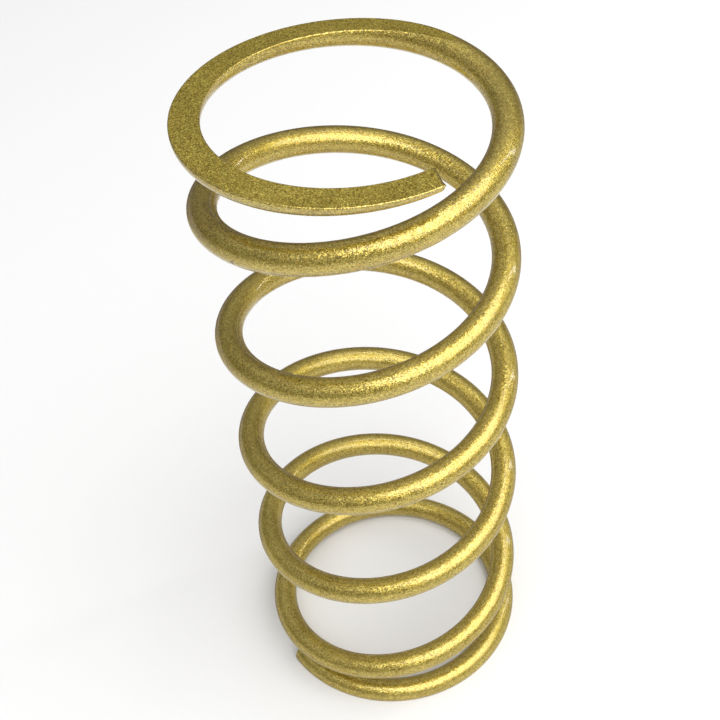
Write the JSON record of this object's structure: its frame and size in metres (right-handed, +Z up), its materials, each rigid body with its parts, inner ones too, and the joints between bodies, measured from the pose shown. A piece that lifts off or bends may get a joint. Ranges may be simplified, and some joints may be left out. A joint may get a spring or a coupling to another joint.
{
  "type": "compression spring",
  "caption": "Right-hand helical compression spring in gold metallic painted wire, with closed and ground ends.",
  "frame": {"origin": "on the coil's axis, on the lower ground face", "axes": "+Z up along the coil's axis; +X to the right and +Y away as the picture sees it"},
  "size_m": [0.055, 0.055, 0.1338],
  "materials": {
    "gold_paint": "satin metallic flake paint, gold"
  },
  "bodies": {
    "bottom_end_coil": {"bottom_end_arc_01": "gold_paint", "bottom_end_arc_02": "gold_paint", "bottom_end_arc_03": "gold_paint", "bottom_end_arc_04": "gold_paint", "bottom_end_arc_05": "gold_paint", "bottom_end_arc_06": "gold_paint", "bottom_end_arc_07": "gold_paint", "bottom_end_arc_08": "gold_paint"},
    "top_end_coil": {"top_end_arc_01": "gold_paint", "top_end_arc_02": "gold_paint", "top_end_arc_03": "gold_paint", "top_end_arc_04": "gold_paint", "top_end_arc_05": "gold_paint", "top_end_arc_06": "gold_paint", "top_end_arc_07": "gold_paint", "top_end_arc_08": "gold_paint"},
    "wire_arc_01": {"coil_arc_01": "gold_paint"},
    "wire_arc_02": {"coil_arc_02": "gold_paint"},
    "wire_arc_03": {"coil_arc_03": "gold_paint"},
    "wire_arc_04": {"coil_arc_04": "gold_paint"},
    "wire_arc_05": {"coil_arc_05": "gold_paint"},
    "wire_arc_06": {"coil_arc_06": "gold_paint"},
    "wire_arc_07": {"coil_arc_07": "gold_paint"},
    "wire_arc_08": {"coil_arc_08": "gold_paint"},
    "wire_arc_09": {"coil_arc_09": "gold_paint"},
    "wire_arc_10": {"coil_arc_10": "gold_paint"},
    "wire_arc_11": {"coil_arc_11": "gold_paint"},
    "wire_arc_12": {"coil_arc_12": "gold_paint"},
    "wire_arc_13": {"coil_arc_13": "gold_paint"},
    "wire_arc_14": {"coil_arc_14": "gold_paint"},
    "wire_arc_15": {"coil_arc_15": "gold_paint"},
    "wire_arc_16": {"coil_arc_16": "gold_paint"},
    "wire_arc_17": {"coil_arc_17": "gold_paint"},
    "wire_arc_18": {"coil_arc_18": "gold_paint"},
    "wire_arc_19": {"coil_arc_19": "gold_paint"},
    "wire_arc_20": {"coil_arc_20": "gold_paint"},
    "wire_arc_21": {"coil_arc_21": "gold_paint"},
    "wire_arc_22": {"coil_arc_22": "gold_paint"},
    "wire_arc_23": {"coil_arc_23": "gold_paint"},
    "wire_arc_24": {"coil_arc_24": "gold_paint"},
    "wire_arc_25": {"coil_arc_25": "gold_paint"},
    "wire_arc_26": {"coil_arc_26": "gold_paint"},
    "wire_arc_27": {"coil_arc_27": "gold_paint"},
    "wire_arc_28": {"coil_arc_28": "gold_paint"},
    "wire_arc_29": {"coil_arc_29": "gold_paint"},
    "wire_arc_30": {"coil_arc_30": "gold_paint"},
    "wire_arc_31": {"coil_arc_31": "gold_paint"},
    "wire_arc_32": {"coil_arc_32": "gold_paint"},
    "wire_arc_33": {"coil_arc_33": "gold_paint"},
    "wire_arc_34": {"coil_arc_34": "gold_paint"}
  },
  "joints": [
    {"name": "compression", "type": "slide", "parent": "bottom_end_coil", "child": "top_end_coil", "axis": [0, 0, -1], "range_m": [0, 0.08], "stiffness_N_per_m": 11700},
    {"name": "arc_01_slide", "type": "slide", "parent": "bottom_end_coil", "child": "wire_arc_01", "axis": [0, 0, -1], "range_m": [0, 0.08008]},
    {"name": "arc_02_slide", "type": "slide", "parent": "bottom_end_coil", "child": "wire_arc_02", "axis": [0, 0, -1], "range_m": [0, 0.07964]},
    {"name": "arc_03_slide", "type": "slide", "parent": "bottom_end_coil", "child": "wire_arc_03", "axis": [0, 0, -1], "range_m": [0, 0.07831]},
    {"name": "arc_04_slide", "type": "slide", "parent": "bottom_end_coil", "child": "wire_arc_04", "axis": [0, 0, -1], "range_m": [0, 0.07608]},
    {"name": "arc_05_slide", "type": "slide", "parent": "bottom_end_coil", "child": "wire_arc_05", "axis": [0, 0, -1], "range_m": [0, 0.07344]},
    {"name": "arc_06_slide", "type": "slide", "parent": "bottom_end_coil", "child": "wire_arc_06", "axis": [0, 0, -1], "range_m": [0, 0.07076]},
    {"name": "arc_07_slide", "type": "slide", "parent": "bottom_end_coil", "child": "wire_arc_07", "axis": [0, 0, -1], "range_m": [0, 0.0681]},
    {"name": "arc_08_slide", "type": "slide", "parent": "bottom_end_coil", "child": "wire_arc_08", "axis": [0, 0, -1], "range_m": [0, 0.06544]},
    {"name": "arc_09_slide", "type": "slide", "parent": "bottom_end_coil", "child": "wire_arc_09", "axis": [0, 0, -1], "range_m": [0, 0.06276]},
    {"name": "arc_10_slide", "type": "slide", "parent": "bottom_end_coil", "child": "wire_arc_10", "axis": [0, 0, -1], "range_m": [0, 0.0601]},
    {"name": "arc_11_slide", "type": "slide", "parent": "bottom_end_coil", "child": "wire_arc_11", "axis": [0, 0, -1], "range_m": [0, 0.05744]},
    {"name": "arc_12_slide", "type": "slide", "parent": "bottom_end_coil", "child": "wire_arc_12", "axis": [0, 0, -1], "range_m": [0, 0.05476]},
    {"name": "arc_13_slide", "type": "slide", "parent": "bottom_end_coil", "child": "wire_arc_13", "axis": [0, 0, -1], "range_m": [0, 0.0521]},
    {"name": "arc_14_slide", "type": "slide", "parent": "bottom_end_coil", "child": "wire_arc_14", "axis": [0, 0, -1], "range_m": [0, 0.04944]},
    {"name": "arc_15_slide", "type": "slide", "parent": "bottom_end_coil", "child": "wire_arc_15", "axis": [0, 0, -1], "range_m": [0, 0.04676]},
    {"name": "arc_16_slide", "type": "slide", "parent": "bottom_end_coil", "child": "wire_arc_16", "axis": [0, 0, -1], "range_m": [0, 0.0441]},
    {"name": "arc_17_slide", "type": "slide", "parent": "bottom_end_coil", "child": "wire_arc_17", "axis": [0, 0, -1], "range_m": [0, 0.04144]},
    {"name": "arc_18_slide", "type": "slide", "parent": "bottom_end_coil", "child": "wire_arc_18", "axis": [0, 0, -1], "range_m": [0, 0.03876]},
    {"name": "arc_19_slide", "type": "slide", "parent": "bottom_end_coil", "child": "wire_arc_19", "axis": [0, 0, -1], "range_m": [0, 0.0361]},
    {"name": "arc_20_slide", "type": "slide", "parent": "bottom_end_coil", "child": "wire_arc_20", "axis": [0, 0, -1], "range_m": [0, 0.03344]},
    {"name": "arc_21_slide", "type": "slide", "parent": "bottom_end_coil", "child": "wire_arc_21", "axis": [0, 0, -1], "range_m": [0, 0.03076]},
    {"name": "arc_22_slide", "type": "slide", "parent": "bottom_end_coil", "child": "wire_arc_22", "axis": [0, 0, -1], "range_m": [0, 0.0281]},
    {"name": "arc_23_slide", "type": "slide", "parent": "bottom_end_coil", "child": "wire_arc_23", "axis": [0, 0, -1], "range_m": [0, 0.02544]},
    {"name": "arc_24_slide", "type": "slide", "parent": "bottom_end_coil", "child": "wire_arc_24", "axis": [0, 0, -1], "range_m": [0, 0.02276]},
    {"name": "arc_25_slide", "type": "slide", "parent": "bottom_end_coil", "child": "wire_arc_25", "axis": [0, 0, -1], "range_m": [0, 0.0201]},
    {"name": "arc_26_slide", "type": "slide", "parent": "bottom_end_coil", "child": "wire_arc_26", "axis": [0, 0, -1], "range_m": [0, 0.01744]},
    {"name": "arc_27_slide", "type": "slide", "parent": "bottom_end_coil", "child": "wire_arc_27", "axis": [0, 0, -1], "range_m": [0, 0.01476]},
    {"name": "arc_28_slide", "type": "slide", "parent": "bottom_end_coil", "child": "wire_arc_28", "axis": [0, 0, -1], "range_m": [0, 0.0121]},
    {"name": "arc_29_slide", "type": "slide", "parent": "bottom_end_coil", "child": "wire_arc_29", "axis": [0, 0, -1], "range_m": [0, 0.00944]},
    {"name": "arc_30_slide", "type": "slide", "parent": "bottom_end_coil", "child": "wire_arc_30", "axis": [0, 0, -1], "range_m": [0, 0.00676]},
    {"name": "arc_31_slide", "type": "slide", "parent": "bottom_end_coil", "child": "wire_arc_31", "axis": [0, 0, -1], "range_m": [0, 0.00412]},
    {"name": "arc_32_slide", "type": "slide", "parent": "bottom_end_coil", "child": "wire_arc_32", "axis": [0, 0, -1], "range_m": [0, 0.00189]},
    {"name": "arc_33_slide", "type": "slide", "parent": "bottom_end_coil", "child": "wire_arc_33", "axis": [0, 0, -1], "range_m": [0, 0.00056]},
    {"name": "arc_34_slide", "type": "slide", "parent": "bottom_end_coil", "child": "wire_arc_34", "axis": [0, 0, -1], "range_m": [0, 0.00012]}
  ],
  "couplings": [
    {"joint": "arc_01_slide", "follows": "compression", "ratio": 0.9998},
    {"joint": "arc_02_slide", "follows": "compression", "ratio": 0.9943},
    {"joint": "arc_03_slide", "follows": "compression", "ratio": 0.9776},
    {"joint": "arc_04_slide", "follows": "compression", "ratio": 0.9498},
    {"joint": "arc_05_slide", "follows": "compression", "ratio": 0.9167},
    {"joint": "arc_06_slide", "follows": "compression", "ratio": 0.8833},
    {"joint": "arc_07_slide", "follows": "compression", "ratio": 0.85},
    {"joint": "arc_08_slide", "follows": "compression", "ratio": 0.8167},
    {"joint": "arc_09_slide", "follows": "compression", "ratio": 0.7833},
    {"joint": "arc_10_slide", "follows": "compression", "ratio": 0.75},
    {"joint": "arc_11_slide", "follows": "compression", "ratio": 0.7167},
    {"joint": "arc_12_slide", "follows": "compression", "ratio": 0.6833},
    {"joint": "arc_13_slide", "follows": "compression", "ratio": 0.65},
    {"joint": "arc_14_slide", "follows": "compression", "ratio": 0.6167},
    {"joint": "arc_15_slide", "follows": "compression", "ratio": 0.5833},
    {"joint": "arc_16_slide", "follows": "compression", "ratio": 0.55},
    {"joint": "arc_17_slide", "follows": "compression", "ratio": 0.5167},
    {"joint": "arc_18_slide", "follows": "compression", "ratio": 0.4833},
    {"joint": "arc_19_slide", "follows": "compression", "ratio": 0.45},
    {"joint": "arc_20_slide", "follows": "compression", "ratio": 0.4167},
    {"joint": "arc_21_slide", "follows": "compression", "ratio": 0.3833},
    {"joint": "arc_22_slide", "follows": "compression", "ratio": 0.35},
    {"joint": "arc_23_slide", "follows": "compression", "ratio": 0.3167},
    {"joint": "arc_24_slide", "follows": "compression", "ratio": 0.2833},
    {"joint": "arc_25_slide", "follows": "compression", "ratio": 0.25},
    {"joint": "arc_26_slide", "follows": "compression", "ratio": 0.2167},
    {"joint": "arc_27_slide", "follows": "compression", "ratio": 0.1833},
    {"joint": "arc_28_slide", "follows": "compression", "ratio": 0.15},
    {"joint": "arc_29_slide", "follows": "compression", "ratio": 0.1167},
    {"joint": "arc_30_slide", "follows": "compression", "ratio": 0.0833},
    {"joint": "arc_31_slide", "follows": "compression", "ratio": 0.0502},
    {"joint": "arc_32_slide", "follows": "compression", "ratio": 0.0224},
    {"joint": "arc_33_slide", "follows": "compression", "ratio": 0.0057},
    {"joint": "arc_34_slide", "follows": "compression", "ratio": 0.0002}
  ]
}
